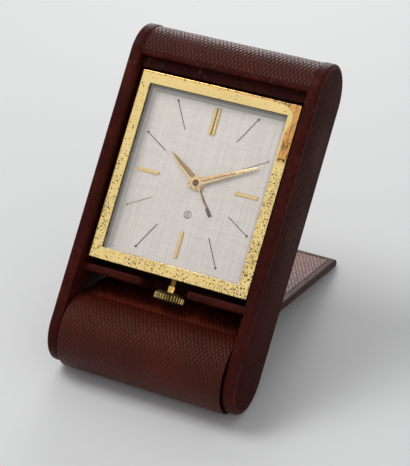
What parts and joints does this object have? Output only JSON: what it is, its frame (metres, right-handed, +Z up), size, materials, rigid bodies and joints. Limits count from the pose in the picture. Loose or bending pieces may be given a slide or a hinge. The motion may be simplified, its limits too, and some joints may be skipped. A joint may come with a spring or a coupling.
{
  "type": "travelling alarm clock",
  "caption": "Small square alarm clock in a leather case between rounded cheeks, standing open on its round-backed cover, which swings under as a stay",
  "frame": {"origin": "centre of the bounding box in X and Y, at its bottom: the table that the open case stands on", "axes": "+X is the clock's right as the viewer faces the dial, +Y runs back from the drum to the stay's far edge, +Z is up; the dial faces -Y and leans back"},
  "size_m": [0.066, 0.0989, 0.0939],
  "materials": {
    "grained_leather": "fine lozenge grain, waxed",
    "smooth_leather": "smooth, satin",
    "lining_cloth": "plain weave",
    "board": "plain",
    "wood_block": "plain",
    "gilt_brass": "polished, light tarnish",
    "gilt_marks": "polished",
    "plain_brass": "satin",
    "steel": "ground",
    "spring_steel": "tempered",
    "plated_steel": "nickel plated",
    "crystal": "clear",
    "surround_paint": "matt",
    "silvered_dial": "fine linen brushing",
    "dark_print": "printed"
  },
  "bodies": {
    "case": {"cheek_boards": "board", "left_cheek_leather": "grained_leather", "right_cheek_leather": "grained_leather", "cheek_linings": "smooth_leather", "pivot_pins": "steel", "shell_board": "board", "shell_leather": "grained_leather", "front_hem": "smooth_leather", "upper_rest": "smooth_leather", "back_lining": "lining_cloth", "shelf_board": "board", "shelf_leather": "smooth_leather", "clock_case": "plated_steel", "case_back": "plated_steel", "mounting_blocks": "wood_block", "mounting_screws": "steel", "bezel": "gilt_brass", "crystal": "crystal", "dial_surround": "surround_paint", "dial": "silvered_dial", "hour_batons": "gilt_marks", "dial_print": "dark_print", "movement_ring": "plated_steel", "main_plate": "plain_brass", "small_screws": "steel", "plate_pillars": "plain_brass", "back_plate": "plain_brass", "balance_cock": "plain_brass", "plate_screws": "steel", "stem_tube": "plain_brass"},
    "cover": {"cover_board": "board", "cover_lining": "lining_cloth", "cover_leather": "grained_leather", "drum_core": "wood_block", "pivot_bushes": "plain_brass", "drum_end_discs": "smooth_leather"},
    "minute_hand_work": {"cannon_pinion": "steel", "minute_hand": "gilt_marks"},
    "minute_wheel": {"minute_wheel": "plain_brass"},
    "hour_hand_work": {"hour_wheel": "plain_brass", "hour_hand": "gilt_marks"},
    "alarm_hand_work": {"alarm_wheel": "plain_brass", "alarm_hand": "gilt_marks"},
    "fourth_wheel": {"fourth_wheel": "plain_brass"},
    "third_wheel": {"third_wheel": "plain_brass"},
    "centre_wheel": {"centre_wheel": "plain_brass"},
    "going_barrel": {"going_barrel": "plain_brass", "mainspring": "spring_steel"},
    "escape_wheel": {"escape_wheel": "plain_brass"},
    "pallet_lever": {"pallet_lever": "steel"},
    "balance": {"balance_wheel": "plain_brass", "hairspring": "spring_steel"},
    "ratchet_wheel": {"ratchet_wheel": "steel"},
    "crown_wheel": {"crown_wheel": "steel"},
    "click": {"click": "steel"},
    "alarm_barrel": {"alarm_barrel": "plain_brass"},
    "alarm_hammer": {"alarm_hammer": "steel"},
    "setting_yoke": {"setting_yoke": "steel"},
    "winding_stem": {"stem": "steel", "crown": "gilt_brass"}
  },
  "joints": [
    {"name": "cover_pivot", "type": "hinge", "parent": "case", "child": "cover", "pos_m": [0, -0.0366, 0.0128], "axis": [-1, 0, 0], "range_deg": [0, 295.09]},
    {"name": "minute_turn", "type": "hinge", "parent": "case", "child": "minute_hand_work", "pos_m": [0, -0.00101, 0.05447], "axis": [0, 0.7604, -0.6494], "continuous": true},
    {"name": "minute_wheel_turn", "type": "hinge", "parent": "case", "child": "minute_wheel", "pos_m": [0.003, 0.00236, 0.05842], "axis": [0, 0.7604, -0.6494], "continuous": true},
    {"name": "hour_turn", "type": "hinge", "parent": "case", "child": "hour_hand_work", "pos_m": [0, -0.00101, 0.05447], "axis": [0, 0.7604, -0.6494], "continuous": true},
    {"name": "alarm_set_turn", "type": "hinge", "parent": "case", "child": "alarm_hand_work", "pos_m": [0, -0.00101, 0.05447], "axis": [0, 0.7604, -0.6494], "continuous": true},
    {"name": "fourth_turn", "type": "hinge", "parent": "case", "child": "fourth_wheel", "pos_m": [0.00474, 0.00501, 0.06152], "axis": [0, 0.7604, -0.6494], "continuous": true},
    {"name": "third_turn", "type": "hinge", "parent": "case", "child": "third_wheel", "pos_m": [-0.00125, 0.00359, 0.05986], "axis": [0, 0.7604, -0.6494], "continuous": true},
    {"name": "centre_turn", "type": "hinge", "parent": "case", "child": "centre_wheel", "pos_m": [0, -0.00101, 0.05447], "axis": [0, 0.7604, -0.6494], "continuous": true},
    {"name": "barrel_turn", "type": "hinge", "parent": "case", "child": "going_barrel", "pos_m": [-0.00636, -0.00594, 0.0487], "axis": [0, 0.7604, -0.6494], "continuous": true},
    {"name": "escape_turn", "type": "hinge", "parent": "case", "child": "escape_wheel", "pos_m": [0.00981, 0.00381, 0.06012], "axis": [0, 0.7604, -0.6494], "continuous": true},
    {"name": "pallet_swing", "type": "hinge", "parent": "case", "child": "pallet_lever", "pos_m": [0.01228, 0.00103, 0.05686], "axis": [0, 0.7604, -0.6494], "range_deg": [-3, 3]},
    {"name": "balance_swing", "type": "hinge", "parent": "case", "child": "balance", "pos_m": [0.01457, -0.00354, 0.05151], "axis": [0, 0.7604, -0.6494], "range_deg": [-135, 135], "stiffness_Nm_per_rad": 0.0000016},
    {"name": "crown_pull", "type": "slide", "parent": "case", "child": "setting_yoke", "axis": [0, -0.6494, -0.7604], "range_m": [0, 0.0007]},
    {"name": "crown_turn", "type": "hinge", "parent": "setting_yoke", "child": "winding_stem", "pos_m": [0.001, -0.03903, 0.01488], "axis": [0, 0.6494, 0.7604], "continuous": true},
    {"name": "crown_wheel_turn", "type": "hinge", "parent": "case", "child": "crown_wheel", "pos_m": [0.001, -0.01154, 0.04215], "axis": [0, 0.7604, -0.6494], "continuous": true},
    {"name": "ratchet_turn", "type": "hinge", "parent": "case", "child": "ratchet_wheel", "pos_m": [-0.00636, -0.00594, 0.0487], "axis": [0, 0.7604, -0.6494], "continuous": true},
    {"name": "click_swing", "type": "hinge", "parent": "case", "child": "click", "pos_m": [-0.01641, -0.00479, 0.05005], "axis": [0, 0.7604, -0.6494], "range_deg": [0, 8], "stiffness_Nm_per_rad": 0.00002, "springref_deg": -2.86},
    {"name": "alarm_barrel_turn", "type": "hinge", "parent": "case", "child": "alarm_barrel", "pos_m": [0.0115, -0.01205, 0.04154], "axis": [0, 0.7604, -0.6494], "continuous": true},
    {"name": "hammer_swing", "type": "hinge", "parent": "case", "child": "alarm_hammer", "pos_m": [-0.013, 0.00451, 0.06093], "axis": [0, -0.7604, 0.6494], "range_deg": [0, 6], "stiffness_Nm_per_rad": 0.0002, "springref_deg": -2.86}
  ],
  "couplings": [
    {"joint": "minute_wheel_turn", "follows": "minute_turn", "ratio": -0.33333},
    {"joint": "hour_turn", "follows": "minute_turn", "ratio": 0.083333},
    {"joint": "third_turn", "follows": "fourth_turn", "ratio": -0.13333},
    {"joint": "centre_turn", "follows": "fourth_turn", "ratio": 0.016667},
    {"joint": "barrel_turn", "follows": "fourth_turn", "ratio": -0.0018519},
    {"joint": "escape_turn", "follows": "fourth_turn", "ratio": -10},
    {"joint": "crown_wheel_turn", "follows": "crown_turn", "ratio": 0.33333},
    {"joint": "ratchet_turn", "follows": "crown_turn", "ratio": -0.2}
  ]
}
